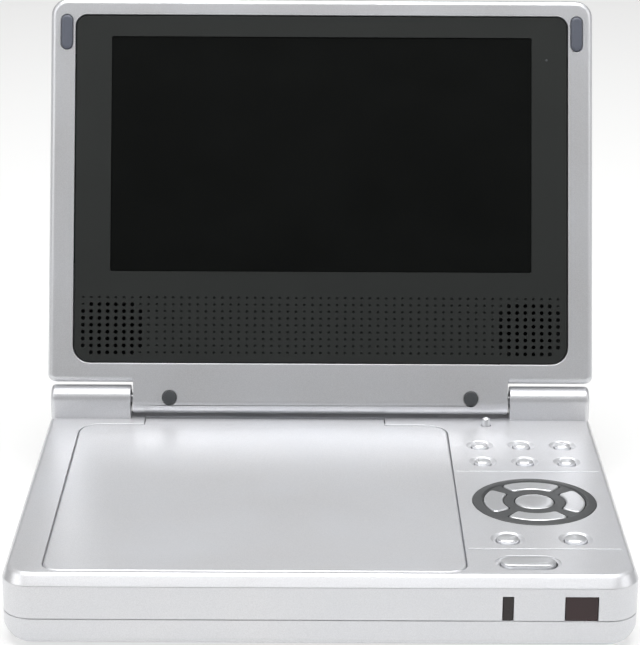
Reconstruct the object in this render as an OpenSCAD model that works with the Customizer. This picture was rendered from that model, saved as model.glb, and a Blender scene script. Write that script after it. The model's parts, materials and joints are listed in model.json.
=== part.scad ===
// Portable disc player: a flat base with a lift-up disc cover and a key deck,
// and a screen lid on two friction hinges along the back edge.
// Frame: X to the right, Y to the back, Z up; the origin is the middle of the base on the table.

/* [Base case] */
// Width of the player, left to right
body_w = 200; // [198:1:206]
// Depth of the base, front to back
body_d = 153; // [152:1:158]
// Height of the deck above the table
deck_z = 24.5; // [24.2:0.1:26]
// Height of the seam between the lower and the upper case
seam_z = 10; // [9.4:0.1:10]
// Height of the rubber feet below the case
foot_h = 1; // [0.8:0.1:1.4]
// Wall thickness of the cases
wall = 2.2; // [1.8:0.1:2.4]
// Plan radius of the two front corners
front_r = 10; // [6:1:12]
// Plan radius of the two back corners
back_r = 6; // [4:1:8]
// Width and height of the bevel round the deck
bevel = 3.6; // [2:0.2:3.8]

/* [Screen lid] */
// Thickness of the lid
lid_t = 12; // [11.6:0.1:13]
// Lean of the open lid behind upright, in degrees
lid_lean = 20.25; // [10:0.25:35]
// Gap between the closed lid and the deck
lid_gap = 1.25; // [1.1:0.05:1.6]
// Width of the visible picture
screen_w = 155; // [148:1:156]
// Height of the visible picture
screen_h = 87; // [82:1:88]
// Width of the hinge tongue between the two hinge covers
tongue_w = 137.6; // [136:0.2:138]

/* [Disc drive] */
// Room round the disc in its well
disc_room = 1; // [0.8:0.1:1.2]
// Travel of the pickup sled
sled_travel = 32; // [24:1:32]
// Radius of the guide rods and the lead screw
rod_r = 1.25; // [1:0.05:1.3]

/* [Keys] */
// Radius of the six upper keys
key_r = 2.9; // [2.6:0.05:3.4]
// Radius of the two lower keys
low_key_r = 3.6; // [3:0.1:4]
// Height of the key tops above the deck
key_rise = 0.85; // [0.5:0.05:0.95]
// Outer radius of the ring round the navigation keys
ring_r = 20.7; // [20.2:0.1:21]

/* [Sockets] */
// Radius of a 3.5 mm plug socket
plug_r = 1.8; // [1.76:0.01:1.85]
// Radius of the power inlet
inlet_r = 2.75; // [2.7:0.01:2.8]

/* [Hidden] */
// Diameter of a standard disc
disc_d = 120;
$fn = 64;

silver = [0.82, 0.83, 0.85];
dark_grey = [0.20, 0.20, 0.20];
steel = [0.62, 0.63, 0.65];
board_green = [0.10, 0.34, 0.20];
rubber = [0.30, 0.31, 0.34];

// Base edges
half_w = body_w / 2;
front_y = -body_d / 2;
back_y = body_d / 2;
deck_t = 2.2;
deck_under = deck_z - deck_t;
floor_t = 3;
floor_z = foot_h + floor_t;

// Hinge line of the lid: the closed lid's face lies lid_gap over the deck
face_w = 5;
hinge_y = back_y - 5.4;
hinge_z = deck_z + lid_gap + face_w;
hinge_cover_r = 5;
tongue_r = 5.5;
shaft_r = 2;
fit = 0.05;
cover_x0 = tongue_w / 2 + 0.8;
cover_x1 = half_w - 1.1;

// Lid outline, measured along the lid from the hinge line
lid_top = hinge_y - front_y;
lid_foot = hinge_cover_r + 1.05;
lid_back = face_w - lid_t;
lid_seam = -1;
lid_wall = 2.2;
mask_v0 = 13.2;
mask_v1 = lid_top - 6.3;
mask_x = half_w - 9.4;
mask_top = face_w - 0.4;
mask_t = 2;
screen_v0 = mask_v1 - 7.7 - screen_h;

// Disc drive
disc_x = -20.6;
disc_y = -6;
well_r = disc_d / 2 + disc_room;
tray_floor_z = 17.8;
ledge_z = deck_z - 2.3;
flange_z = ledge_z - 3.3;
chassis_z = 10.6;
chassis_t = 1.2;
rod_z = 13.6;
rod_off = 16;
screw_off = -26.5;
screw_z = 11.2;
sled_x = disc_x - 24;
rod_x0 = -90;
rod_x1 = -33;
grommets = [[-84, 27], [2, 27], [2, -27]];

// Disc cover
cover_edge = [-87.2, -72.2, 45.9, 60.2];
tab_x = [-64, 23.4];
cover_t = 2.1;
cover_axis_y = 66;
cover_axis_z = deck_z - 2.5;
cover_barrel_r = 2.5;
cover_pin_r = 1.2;
cover_room = 0.35;
// The rear edge swings back a little as the cover lifts, so it has more room
cover_room_back = 0.7;

// Keys
upper_x = [57, 71.8, 86.5];
upper_y = [40.2, 24];
lower_x = [60.5, 82.5];
lower_y = -44.9;
nav_x = 71.9;
nav_y = -13;
nav_top = deck_z + 0.3;
nav_flat_r = 17;
nav_in_r = 10;
nav_angle = 36;
center_r = 6.5;
open_x = 65.5;
open_y = -64.3;
open_r = 4;
open_half = 5.2;
open_travel = 1;
key_room = 0.3;
key_top = deck_z + key_rise;
key_foot = deck_z - 3;
dish_depth = 0.5;
pin_x = 60.6;
pin_y = 61;

// Right-hand sockets and controls, by distance from the middle
phone_y = [-40, -26];
av_y = -12;
wheel_y = 14;
wheel_r = 6;
wheel_x = half_w - wheel_r;
switch_y = 29;
inlet_y = 44;
socket_z = 14.6;
plug_nose = 3.6;
inlet_nose_r = 4.4;
nose_room = 0.3;
jack_board_z = 10.2;
jack_board_t = 1.2;

// Case screws
screw_spots = [[-91, -65], [91, -65], [-91, 60], [91, 60], [43.5, -45], [43.5, 35]];
foot_spots = [[-76, -58], [76, -58], [-76, 58], [76, 58]];

// Speaker grille
hole_pitch_x = 3.01;
hole_pitch_v = 2.526;
hole_r = 0.62;
hole_v0 = 16.7;
hole_x0 = -87.3;
speaker_x = 76.8;
speaker_v = 25.5;

// ---- Shared shapes ----

// Rectangle with its two near corners rounded by r_near and its two far corners by r_far
module round_rect(x0, y0, x1, y1, r_near, r_far) {
    polygon([
        [x0 + r_near, y0], [x1 - r_near, y0], [x1, y0 + r_near], [x1, y1 - r_far],
        [x1 - r_far, y1], [x0 + r_far, y1], [x0, y1 - r_far], [x0, y0 + r_near]
    ]);
    for (x = [x0 + r_near, x1 - r_near]) translate([x, y0 + r_near]) circle(r_near);
    for (x = [x0 + r_far, x1 - r_far]) translate([x, y1 - r_far]) circle(r_far);
}

module prism(z0, z1) {
    translate([0, 0, z0]) linear_extrude(z1 - z0) children();
}

// Block between two corners
module block(low, high) {
    translate(low) cube(high - low);
}

module post(x, y, z0, z1, r) {
    translate([x, y, z0]) cylinder(h = z1 - z0, r = r);
}

// Bar lying along X
module bar_x(x0, x1, y, z, r) {
    translate([x0, y, z]) rotate([0, 90, 0]) cylinder(h = x1 - x0, r = r);
}

// Extrudes a Y-Z outline along X
module along_x(x0, x1) {
    translate([x0, 0, 0]) rotate([90, 0, 90]) linear_extrude(x1 - x0) children();
}

// Extrudes an X-Z outline along Y
module along_y(y0, y1) {
    translate([0, y1, 0]) rotate([90, 0, 0]) linear_extrude(y1 - y0) children();
}

module stadium(half, r) {
    square([2 * half, 2 * r], center = true);
    for (s = [-1, 1]) translate([s * half, 0]) circle(r);
}

// Part of a ring between two radii, spanning an angle to each side of +X
module arc_sector(r_in, r_out, half_angle) {
    far = 2 * r_out;
    intersection() {
        difference() {
            circle(r_out);
            circle(r_in);
        }
        polygon([[0, 0], [far * cos(half_angle), -far * sin(half_angle)], [far, 0],
                 [far * cos(half_angle), far * sin(half_angle)]]);
    }
}

// Carries lid parts from the lid's own frame (X, up the lid, out of the face) to their place
module on_lid() {
    translate([0, hinge_y, hinge_z]) rotate([90 - lid_lean, 0, 0]) children();
}

// ---- Base ----

module base_plan(inset) {
    round_rect(-half_w + inset, front_y + inset, half_w - inset, back_y - inset,
               front_r - inset, back_r - min(inset, back_r - 0.6));
}

module base_bottom_outer() {
    intersection() {
        prism(foot_h, seam_z) base_plan(0);
        along_x(-half_w - 1, half_w + 1) polygon([
            [front_y, seam_z], [front_y, foot_h + 3], [front_y + 0.8, foot_h + 1],
            [front_y + 2.8, foot_h], [back_y - 2.8, foot_h], [back_y - 0.8, foot_h + 1],
            [back_y, foot_h + 3], [back_y, seam_z]
        ]);
        along_y(front_y - 1, back_y + 1) polygon([
            [-half_w, seam_z], [-half_w, foot_h + 5.4], [-half_w + 0.9, foot_h + 3.2],
            [-half_w + 3.4, foot_h + 1.3], [-half_w + 10, foot_h], [half_w - 10, foot_h],
            [half_w - 3.4, foot_h + 1.3], [half_w - 0.9, foot_h + 3.2], [half_w, foot_h + 5.4],
            [half_w, seam_z]
        ]);
    }
}

module base_bottom_case() {
    color(silver) difference() {
        union() {
            difference() {
                base_bottom_outer();
                prism(floor_z, seam_z + 1) base_plan(wall + 0.6);
            }
            for (p = screw_spots) post(p[0], p[1], floor_z - 0.2, seam_z, 3.4);
            for (p = grommets) {
                post(p[0], disc_y + p[1], floor_z - 0.2, 8.6, 3);
                post(p[0], disc_y + p[1], floor_z, 14.2, 1.2);
            }
            for (x = [48, 64]) block([x, -68, floor_z - 0.2], [x + 1.6, -64.5, 12.8]);
        }
        for (p = screw_spots) {
            post(p[0], p[1], foot_h - 1, 5, 3.1);
            post(p[0], p[1], 4, seam_z + 1, 1.6);
        }
        for (p = foot_spots) post(p[0], p[1], foot_h - 1, foot_h + 0.6, 6.2);
        for (i = [0:8]) block([-44 + 5 * i, -20, foot_h - 1], [-42 + 5 * i, 12, floor_z + 1]);
    }
}

module base_top_outer() {
    intersection() {
        prism(seam_z, deck_z) base_plan(0);
        along_x(-half_w - 1, half_w + 1) polygon([
            [front_y, seam_z], [front_y, deck_z - bevel], [front_y + bevel, deck_z],
            [back_y - 1.5, deck_z], [back_y, deck_z - 1.5], [back_y, seam_z]
        ]);
        along_y(front_y - 1, back_y + 1) polygon([
            [-half_w, seam_z], [-half_w, deck_z - bevel], [-half_w + 3, deck_z],
            [half_w - 3, deck_z], [half_w, deck_z - bevel], [half_w, seam_z]
        ]);
    }
}

// Outline of the disc cover, grown by room, and at its rear edge by back_room
module cover_outline(room, back_room) {
    round_rect(cover_edge[0] - room, cover_edge[1] - room, cover_edge[2] + room,
               cover_edge[3] + back_room, 6 + room, 8 + room);
}

module key_hole(x, y, r) {
    post(x, y, deck_under - 1, deck_z + 1, r + key_room);
    translate([x, y, deck_z - dish_depth]) cylinder(h = dish_depth + 0.01, r1 = r + 0.7, r2 = r + 1.7);
}

module base_top_case() {
    color(silver) difference() {
        union() {
            difference() {
                base_top_outer();
                prism(seam_z - 1, deck_z - 5) base_plan(wall);
                prism(deck_z - 5.1, deck_under) base_plan(wall + 2.2);
            }
            prism(ledge_z - 2, deck_under + 0.1) round_rect(-89.5, -73, 47.8, 62.4, 4, 4);
            for (p = screw_spots) post(p[0], p[1], seam_z, deck_under + 0.1, 3.4);
            for (x = [tab_x[0] - 3, tab_x[1] + 0.6]) {
                block([x, cover_axis_y - 2.2, cover_axis_z - 2.4],
                      [x + 2.4, cover_axis_y + 2.2, deck_under + 0.1]);
            }
        }
        prism(ledge_z, deck_z + 1) cover_outline(cover_room, cover_room_back);
        post(disc_x, disc_y, ledge_z - 3, ledge_z + 1, well_r + 1.6);
        block([tab_x[0] - cover_room, cover_edge[3] - 2.5, cover_axis_z - 5],
              [tab_x[1] + cover_room, cover_axis_y + cover_barrel_r + 0.4, deck_z + 1]);
        block([34.6, -70.2, ledge_z - 3], [42.4, -63.2, ledge_z + 1]);
        bar_x(tab_x[0] - 4, tab_x[1] + 4, cover_axis_y, cover_axis_z, cover_pin_r + fit);
        for (x = upper_x, y = upper_y) key_hole(x, y, key_r);
        for (x = lower_x) key_hole(x, lower_y, low_key_r);
        translate([open_x, open_y, 0]) {
            prism(deck_under - 1, deck_z + 1) stadium(open_half, open_r + key_room);
            prism(deck_z - 0.4, deck_z + 1) stadium(open_half, open_r + 1.5);
        }
        post(nav_x, nav_y, deck_under + 0.3, deck_z + 1, ring_r + 0.15);
        post(nav_x, nav_y, deck_under - 1, deck_z + 1, ring_r - 2.2);
        post(pin_x, pin_y, deck_under - 1, deck_z + 1, 1.8);
        block([46.8, 14.3, deck_z - 0.25], [half_w - 3.2, 14.8, deck_z + 1]);
        block([46.4, -53.6, deck_z - 0.25], [half_w - 4.2, -53.1, deck_z + 1]);
        block([56.8, front_y - 1, seam_z - 1], [60.3, front_y + wall + 1, 18.1]);
        block([76.3, front_y - 1, seam_z - 1], [86.8, front_y + wall + 1, 18.1]);
        for (y = concat(phone_y, [av_y])) {
            block([half_w - 4, y - plug_nose - nose_room, socket_z - plug_nose - nose_room],
                  [half_w + 1, y + plug_nose + nose_room, socket_z + plug_nose + nose_room]);
        }
        bar_x(half_w - 4, half_w + 1, inlet_y, socket_z, inlet_nose_r + nose_room);
        block([half_w - 4, wheel_y - 5.6, socket_z - 1.8], [half_w + 1, wheel_y + 5.6, socket_z + 1.8]);
        block([half_w - 4, switch_y - 2.5, socket_z - 1.8], [half_w + 1, switch_y + 5.5, socket_z + 1.8]);
        for (p = screw_spots) post(p[0], p[1], seam_z - 1, 17, 1.45);
    }
}

module hinge_cover() {
    color(silver) difference() {
        along_x(cover_x0, cover_x1) {
            translate([hinge_y - hinge_cover_r, deck_z])
                square([2 * hinge_cover_r, hinge_z - deck_z]);
            translate([hinge_y, hinge_z]) circle(hinge_cover_r);
        }
        bar_x(cover_x0 - 1, cover_x0 + 24, hinge_y, hinge_z, shaft_r + fit);
        bar_x(cover_x0 + 2, cover_x0 + 15.6, hinge_y, hinge_z, 3.7);
    }
}

module hinge_cover_left() {
    mirror([1, 0, 0]) hinge_cover();
}

module hinge_cover_right() {
    hinge_cover();
}

module hinge_sleeves() {
    color(steel) for (s = [0, 1]) mirror([s, 0, 0]) difference() {
        bar_x(cover_x0 + 2.1, cover_x0 + 15.5, hinge_y, hinge_z, 3.4);
        bar_x(cover_x0 + 1, cover_x0 + 16, hinge_y, hinge_z, shaft_r + fit);
    }
}

module rubber_feet() {
    color(rubber) for (p = foot_spots) {
        post(p[0], p[1], 0, foot_h + 0.6, 6);
    }
}

module base_screws() {
    color(steel) for (p = screw_spots) difference() {
        union() {
            post(p[0], p[1], 3.4, 5, 2.7);
            post(p[0], p[1], 4.9, 16, 1.4);
        }
        for (a = [0, 90]) translate([p[0], p[1], 3.4]) rotate(a) cube([3.4, 0.6, 1.6], center = true);
    }
}

// ---- Disc drive ----

module disc_tray() {
    color(silver) difference() {
        union() {
            post(disc_x, disc_y, tray_floor_z - 1.6, ledge_z - 0.1, well_r + 1.3);
            post(disc_x, disc_y, flange_z, flange_z + 1.2, well_r + 4.5);
        }
        post(disc_x, disc_y, tray_floor_z, ledge_z + 1, well_r);
        post(disc_x, disc_y, tray_floor_z - 3, tray_floor_z + 1, 14);
        block([disc_x - 60.6, disc_y - 6, tray_floor_z - 3], [disc_x - 12, disc_y + 6, tray_floor_z + 0.1]);
    }
}

// An ear of the chassis plate round a grommet at x, dy from the middle of the disc
module grommet_ear(x, dy) {
    root_y = sign(dy) * 20;
    tip_y = dy + sign(dy) * 6;
    block([x - 6, disc_y + min(root_y, tip_y), chassis_z],
          [x + 6, disc_y + max(root_y, tip_y), chassis_z + chassis_t]);
}

module traverse_chassis() {
    y0 = disc_y - 22;
    y1 = disc_y + 22;
    z1 = chassis_z + chassis_t;
    color(steel) difference() {
        union() {
            block([rod_x0, y0, chassis_z], [8, y1, z1]);
            for (p = grommets) grommet_ear(p[0], p[1]);
            block([rod_x0, disc_y - 31, chassis_z - 2.6], [rod_x0 + 1.6, y1, 15.6]);
            block([rod_x1, disc_y - 31, chassis_z - 2.6], [rod_x1 + 1.4, disc_y - 21, 15.6]);
            for (s = [-1, 1]) block([rod_x1, disc_y + s * rod_off - 3, chassis_z],
                                    [rod_x1 + 1.4, disc_y + s * rod_off + 3, 15.6]);
        }
        for (s = [-1, 1]) bar_x(rod_x0 - 1, rod_x1 + 3, disc_y + s * rod_off, rod_z, rod_r + fit);
        bar_x(rod_x0 - 1, rod_x1 + 3, disc_y + screw_off, screw_z, rod_r + fit);
        post(disc_x, disc_y, chassis_z - 1, z1 + 1, 4.4);
        for (p = grommets) post(p[0], disc_y + p[1], chassis_z - 1, z1 + 1, 3.3);
    }
}

module chassis_grommets() {
    color(rubber) for (p = grommets) difference() {
        union() {
            post(p[0], disc_y + p[1], 8.7, chassis_z - 0.1, 4.4);
            post(p[0], disc_y + p[1], chassis_z - 0.2, chassis_z + chassis_t + 0.2, 3);
            post(p[0], disc_y + p[1], chassis_z + chassis_t + 0.1, 14, 4.4);
        }
        post(p[0], disc_y + p[1], 8, 15, 1.5);
    }
}

module spindle_motor() {
    color(steel) difference() {
        union() {
            post(disc_x, disc_y, 7.2, chassis_z - 0.05, 11);
            post(disc_x, disc_y, chassis_z - 0.1, 13, 4);
        }
        post(disc_x, disc_y, 8, 14, 1 + fit);
    }
}

module guide_rods() {
    color(steel) for (s = [-1, 1]) bar_x(rod_x0, rod_x1 + 1.4, disc_y + s * rod_off, rod_z, rod_r);
}

module sled_motor() {
    color(steel) difference() {
        bar_x(rod_x1 + 1.5, rod_x1 + 13, disc_y + screw_off, screw_z, 4);
        bar_x(rod_x1 + 1, rod_x1 + 6, disc_y + screw_off, screw_z, rod_r + fit);
    }
}

module spindle_hub() {
    color(dark_grey) translate([disc_x, disc_y, 0]) rotate_extrude() polygon([
        [0, 8.4], [1, 8.4], [1, 16.8], [12.5, 16.8], [12.5, 19.4], [9, 19.4], [9, 19], [7.45, 19],
        [7.45, 20.6], [5.6, 21.7], [0, 21.9]
    ]);
}

module pickup_sled() {
    color(dark_grey) difference() {
        union() {
            block([sled_x - 7.5, disc_y - 20, 11.95], [sled_x + 7.5, disc_y + 20, 15.25]);
            block([sled_x - 7.5, disc_y - 29.5, 9.5], [sled_x - 1.5, disc_y - 22.4, 15.25]);
            block([sled_x - 7.5, disc_y - 23, 11.95], [sled_x - 1.5, disc_y - 19, 15.25]);
            post(sled_x, disc_y, 15, 17.3, 4.6);
            post(sled_x, disc_y, 17.2, 18, 2.2);
        }
        for (s = [-1, 1]) bar_x(sled_x - 9, sled_x + 9, disc_y + s * rod_off, rod_z, rod_r + fit);
        bar_x(sled_x - 9, sled_x + 1, disc_y + screw_off, screw_z, rod_r + fit);
    }
}

module lead_screw() {
    color(steel) bar_x(rod_x0 + 0.2, rod_x1 + 5.8, disc_y + screw_off, screw_z, rod_r);
}

// ---- Boards, battery and sockets ----

module main_board() {
    color(board_green) difference() {
        union() {
            block([-84, -70, 5], [38, 58, 6.2]);
            block([-74, 34, 6.1], [-54, 54, 7.8]);
            block([-40, 38, 6.1], [-26, 52, 7.6]);
            block([-14, 38, 6.1], [4, 48, 7.6]);
            block([12, -64, 6.1], [30, -52, 8.6]);
            for (i = [0:5]) post(-70 + 9 * i, -60, 6.1, 9.6, 2.6);
        }
        for (p = grommets) post(p[0], disc_y + p[1], 4, 8, 3.6);
        for (x = [-44, -1], y = [-66, 54]) post(x, y, 4, 8, 1.6);
        post(disc_x, disc_y, 4, 8, 12);
    }
}

module battery_pack() {
    color(dark_grey) block([48, -58, floor_z + 0.3], [82, 54, 16.4]);
}

module key_board() {
    color(board_green) {
        difference() {
            block([50, -56, deck_z - 5.9], [88, 50, deck_z - 4.7]);
            for (x = [53, 85], y = [-53, 8, 47]) post(x, y, deck_z - 7, deck_z - 4, 1.3);
        }
        for (x = upper_x, y = upper_y) post(x, y, deck_z - 4.7, deck_z - 3.5, 1.6);
        for (x = lower_x) post(x, lower_y, deck_z - 4.7, deck_z - 3.5, 1.6);
        for (a = [0:90:270]) {
            post(nav_x + 13 * cos(a), nav_y + 13 * sin(a), deck_z - 4.7, deck_z - 3.5, 1.6);
        }
        post(nav_x, nav_y, deck_z - 4.7, deck_z - 3.5, 1.6);
    }
}

module front_board() {
    color(board_green) {
        block([52, -72.6, 5], [90, -71.4, 17]);
        block([78, -74, 11], [85, -72.5, 16.6]);
        translate([58.5, -72.5, 14]) rotate([90, 0, 0]) cylinder(h = 1.5, r = 1.3);
    }
}

module jack_board() {
    z1 = jack_board_z + jack_board_t;
    color(board_green) {
        block([83.8, -46, jack_board_z], [96.8, 50, z1]);
        block([88, switch_y - 5, z1 - 0.1], [95.8, switch_y + 8, 17.4]);
        post(wheel_x, wheel_y, z1 - 0.1, socket_z + 1.4, 1);
        post(wheel_x, wheel_y, z1 - 0.1, socket_z - 1.5, 3);
    }
}

// Socket on the jack board. Its nose is drawn by the children, and ends just inside the wall
module socket(y, bore_r, depth, half) {
    z1 = jack_board_z + jack_board_t;
    difference() {
        union() {
            block([half_w - 16, y - half, z1], [half_w - 2.4, y + half, z1 + 2 * half]);
            children();
        }
        bar_x(half_w - 0.2 - depth, half_w + 1, y, socket_z, bore_r);
    }
}

// Socket for a 3.5 mm plug, with a square nose
module plug_socket(y) {
    socket(y, plug_r, 14, 3.2)
        block([half_w - 3, y - plug_nose, socket_z - plug_nose],
              [half_w - 0.2, y + plug_nose, socket_z + plug_nose]);
}

module headphone_jacks() {
    color(dark_grey) for (y = phone_y) plug_socket(y);
}

module av_jack() {
    color([0.75, 0.65, 0.15]) plug_socket(av_y);
}

module dc_jack() {
    color(dark_grey) {
        socket(inlet_y, inlet_r, 10, 3.3)
            bar_x(half_w - 3, half_w - 0.2, inlet_y, socket_z, inlet_nose_r);
        bar_x(half_w - 11, half_w - 2, inlet_y, socket_z, 1);
    }
}

module lid_switch() {
    color(dark_grey) {
        block([55, 57, floor_z], [66, 65, 12.6]);
        block([57, 59.5, 12.5], [63.5, 62.5, 13.8]);
    }
}

// ---- Deck trim and controls ----

module nav_ring() {
    color([0.38, 0.39, 0.40]) translate([nav_x, nav_y, 0]) difference() {
        rotate_extrude() polygon([
            [0, deck_under + 0.3], [ring_r, deck_under + 0.3], [ring_r, deck_z + 0.05],
            [nav_flat_r + 1.2, deck_z + 0.5], [nav_flat_r + 0.7, deck_z + 0.5],
            [nav_flat_r + 0.7, deck_z], [0, deck_z]
        ]);
        prism(deck_under - 1, deck_z + 2) {
            circle(center_r + key_room);
            for (a = [0:90:270]) rotate(a)
                arc_sector(nav_in_r - key_room, nav_flat_r + key_room, nav_angle + 1.4);
        }
        post(0, 0, deck_under - 1, deck_under + 1, ring_r - 2.6);
    }
}

module ir_window() {
    color([0.25, 0.12, 0.12]) block([76.5, front_y + 0.05, seam_z], [86.6, front_y + wall, 18]);
}

module led_window() {
    color([0.25, 0.22, 0.20]) block([57, front_y + 0.05, seam_z], [60.1, front_y + wall, 18]);
}

module cover_hinge_pins() {
    color(steel) {
        bar_x(tab_x[0] - 3, tab_x[0] + 4, cover_axis_y, cover_axis_z, cover_pin_r);
        bar_x(tab_x[1] - 4, tab_x[1] + 3, cover_axis_y, cover_axis_z, cover_pin_r);
    }
}

module disc_cover() {
    color(silver) difference() {
        union() {
            prism(deck_z - cover_t, deck_z) cover_outline(0, 0);
            block([tab_x[0], cover_edge[3] - 2, deck_z - cover_t], [tab_x[1], cover_axis_y, deck_z]);
            bar_x(tab_x[0], tab_x[1], cover_axis_y, cover_axis_z, cover_barrel_r);
            block([36, -68.6, 14], [39, -65, deck_z - cover_t + 0.1]);
        }
        for (x = [tab_x[0] - 1, tab_x[1] - 4.6]) {
            bar_x(x, x + 5.6, cover_axis_y, cover_axis_z, cover_pin_r + fit);
        }
    }
}

module latch_bar() {
    color(dark_grey) {
        block([39.6, -68.4, 13.2], [72, -64.8, 15.2]);
        block([39.6, -68.4, 15.1], [43, -64.8, 17.6]);
    }
}

// Round key with a retaining flange under the deck
module round_key(x, y, r) {
    color(silver) translate([x, y, 0]) rotate_extrude() polygon([
        [0, key_foot], [r + 1.2, key_foot], [r + 1.2, key_foot + 0.6], [r, key_foot + 0.6],
        [r, key_top - 0.5], [r - 0.5, key_top - 0.15], [0, key_top]
    ]);
}

module upper_key(i) {
    round_key(upper_x[i % 3], upper_y[floor(i / 3)], key_r);
}

module upper_key_1() {
    upper_key(0);
}

module upper_key_2() {
    upper_key(1);
}

module upper_key_3() {
    upper_key(2);
}

module upper_key_4() {
    upper_key(3);
}

module upper_key_5() {
    upper_key(4);
}

module upper_key_6() {
    upper_key(5);
}

module lower_key_left() {
    round_key(lower_x[0], lower_y, low_key_r);
}

module lower_key_right() {
    round_key(lower_x[1], lower_y, low_key_r);
}

// Curved key of the navigation ring, turned by angle from +X
module nav_key(angle) {
    color(silver) translate([nav_x, nav_y, 0]) rotate(angle) {
        prism(key_foot, key_foot + 0.6)
            arc_sector(nav_in_r - 0.8, nav_flat_r + 0.9, nav_angle + 4);
        prism(key_foot + 0.5, nav_top) arc_sector(nav_in_r, nav_flat_r, nav_angle);
    }
}

module nav_key_up() {
    nav_key(90);
}

module nav_key_down() {
    nav_key(270);
}

module nav_key_left() {
    nav_key(180);
}

module nav_key_right() {
    nav_key(0);
}

module center_key() {
    color(silver) translate([nav_x, nav_y, 0]) rotate_extrude() polygon([
        [0, key_foot], [center_r + 0.8, key_foot], [center_r + 0.8, key_foot + 0.6],
        [center_r, key_foot + 0.6], [center_r, nav_top - 0.4], [center_r - 0.8, nav_top],
        [0, nav_top + 0.1]
    ]);
}

module open_key() {
    color(silver) translate([open_x, open_y, 0]) {
        prism(deck_z - 3.6, deck_z - 2.5) stadium(open_half, open_r + 1);
        prism(deck_z - 2.6, key_top) stadium(open_half, open_r);
        prism(16.6, deck_z - 3.5) translate([0, -2.2]) circle(1.4);
    }
}

module lid_switch_pin() {
    color(silver) translate([pin_x, pin_y, 0]) rotate_extrude() polygon([
        [0, 16.2], [1.5, 16.2], [1.5, 20.4], [2.6, 20.4], [2.6, deck_under - 0.8],
        [1.5, deck_under - 0.8], [1.5, deck_z + 2.2], [1.1, deck_z + 2.8], [0, deck_z + 3]
    ]);
}

module volume_wheel() {
    color(dark_grey) difference() {
        post(wheel_x, wheel_y, socket_z - 1.3, socket_z + 1.3, wheel_r);
        post(wheel_x, wheel_y, socket_z - 2, socket_z + 2, 1 + fit);
        for (a = [0:15:345]) translate([wheel_x, wheel_y, socket_z]) rotate(a)
            translate([wheel_r, 0, 0]) cube([0.6, 0.5, 3], center = true);
    }
}

module power_switch() {
    color(dark_grey) {
        block([half_w - 3.8, switch_y - 3.4, socket_z - 2.4], [half_w - 2.6, switch_y + 3.4, socket_z + 2.4]);
        block([half_w - 2.7, switch_y - 2, socket_z - 1.5], [half_w - 0.2, switch_y + 2, socket_z + 1.5]);
    }
}

// ---- Screen lid, drawn in the lid's own frame ----

module lid_plan(inset) {
    round_rect(-half_w + inset, lid_foot + inset, half_w - inset, lid_top - inset,
               2.8 - min(inset, 2.2), 6.3 - inset);
}

// Outline of the hinge tongue across the hinge line
module tongue_outline() {
    intersection() {
        circle(tongue_r);
        translate([-tongue_r - 1, lid_back]) square([2 * tongue_r + 2, face_w - lid_back]);
    }
    polygon([[0, face_w], [0, -tongue_r + 0.1], [lid_foot, lid_back], [lid_foot + 4, lid_back],
             [lid_foot + 4, face_w]]);
}

module lid_outer() {
    intersection() {
        prism(lid_back, face_w) lid_plan(0);
        along_y(0, lid_top + 1) polygon([
            [-half_w, face_w - 1.8], [-half_w + 2, face_w], [half_w - 2, face_w],
            [half_w, face_w - 1.8], [half_w, lid_back + 2.5], [half_w - 3, lid_back],
            [-half_w + 3, lid_back], [-half_w, lid_back + 2.5]
        ]);
        along_x(-half_w - 1, half_w + 1) polygon([
            [lid_foot, face_w - 2], [lid_foot + 2.5, face_w], [lid_top - 2, face_w],
            [lid_top, face_w - 1.8], [lid_top, lid_back + 2.5], [lid_top - 3, lid_back],
            [lid_foot + 2, lid_back], [lid_foot, lid_back + 2]
        ]);
    }
    along_x(-tongue_w / 2, tongue_w / 2) tongue_outline();
}

module lid_hollow() {
    prism(lid_back + 2, face_w - 2) lid_plan(lid_wall);
    block([-tongue_w / 2 + 2.2, -3.2, -3.2], [tongue_w / 2 - 2.2, lid_foot + 4, face_w - 2]);
}

// Half of the lid in front of its seam, with the full ends of the tongue
module lid_front_space() {
    block([-half_w - 1, -10, lid_seam], [half_w + 1, lid_top + 1, face_w + 1]);
    for (s = [0, 1]) mirror([s, 0, 0])
        block([tongue_w / 2 - 2.2, -10, lid_back - 1], [tongue_w / 2 + 0.2, lid_foot - 0.2, face_w + 1]);
}

module lid_front_frame() {
    color(silver) on_lid() difference() {
        union() {
            difference() {
                intersection() {
                    lid_outer();
                    lid_front_space();
                }
                lid_hollow();
            }
            prism(1.4, face_w - 1.9) difference() {
                lid_plan(1);
                round_rect(-mask_x + 2.1, mask_v0 + 1.6, mask_x - 2.1, mask_v1 - 2, 4, 3);
            }
            for (s = [-1, 1], v = [3.5, 10.5]) post(s * 62.4, v, 0.8, face_w - 1.9, 1.8);
        }
        prism(face_w - 2.5, face_w + 1)
            round_rect(-mask_x - 0.1, mask_v0 - 0.1, mask_x + 0.1, mask_v1 + 0.1, 6, 4);
        for (s = [-1, 1]) {
            translate([s * (half_w - 5.9), lid_top - 12.6, 0]) prism(face_w - 0.8, face_w + 1)
                rotate(90) stadium(4.3, 2.2);
            post(s * 55.3, 0.2, face_w - 0.7, face_w + 1, 2.7);
        }
        bar_x(-tongue_w, tongue_w, 0, 0, shaft_r + 0.3);
    }
}

module lid_back_cover() {
    color(silver) on_lid() difference() {
        lid_outer();
        lid_hollow();
        lid_front_space();
        for (s = [0, 1]) mirror([s, 0, 0])
            block([tongue_w / 2 - 2.4, -10, lid_back - 1], [tongue_w / 2 + 0.3, lid_foot - 0.1, 0]);
    }
}

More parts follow.
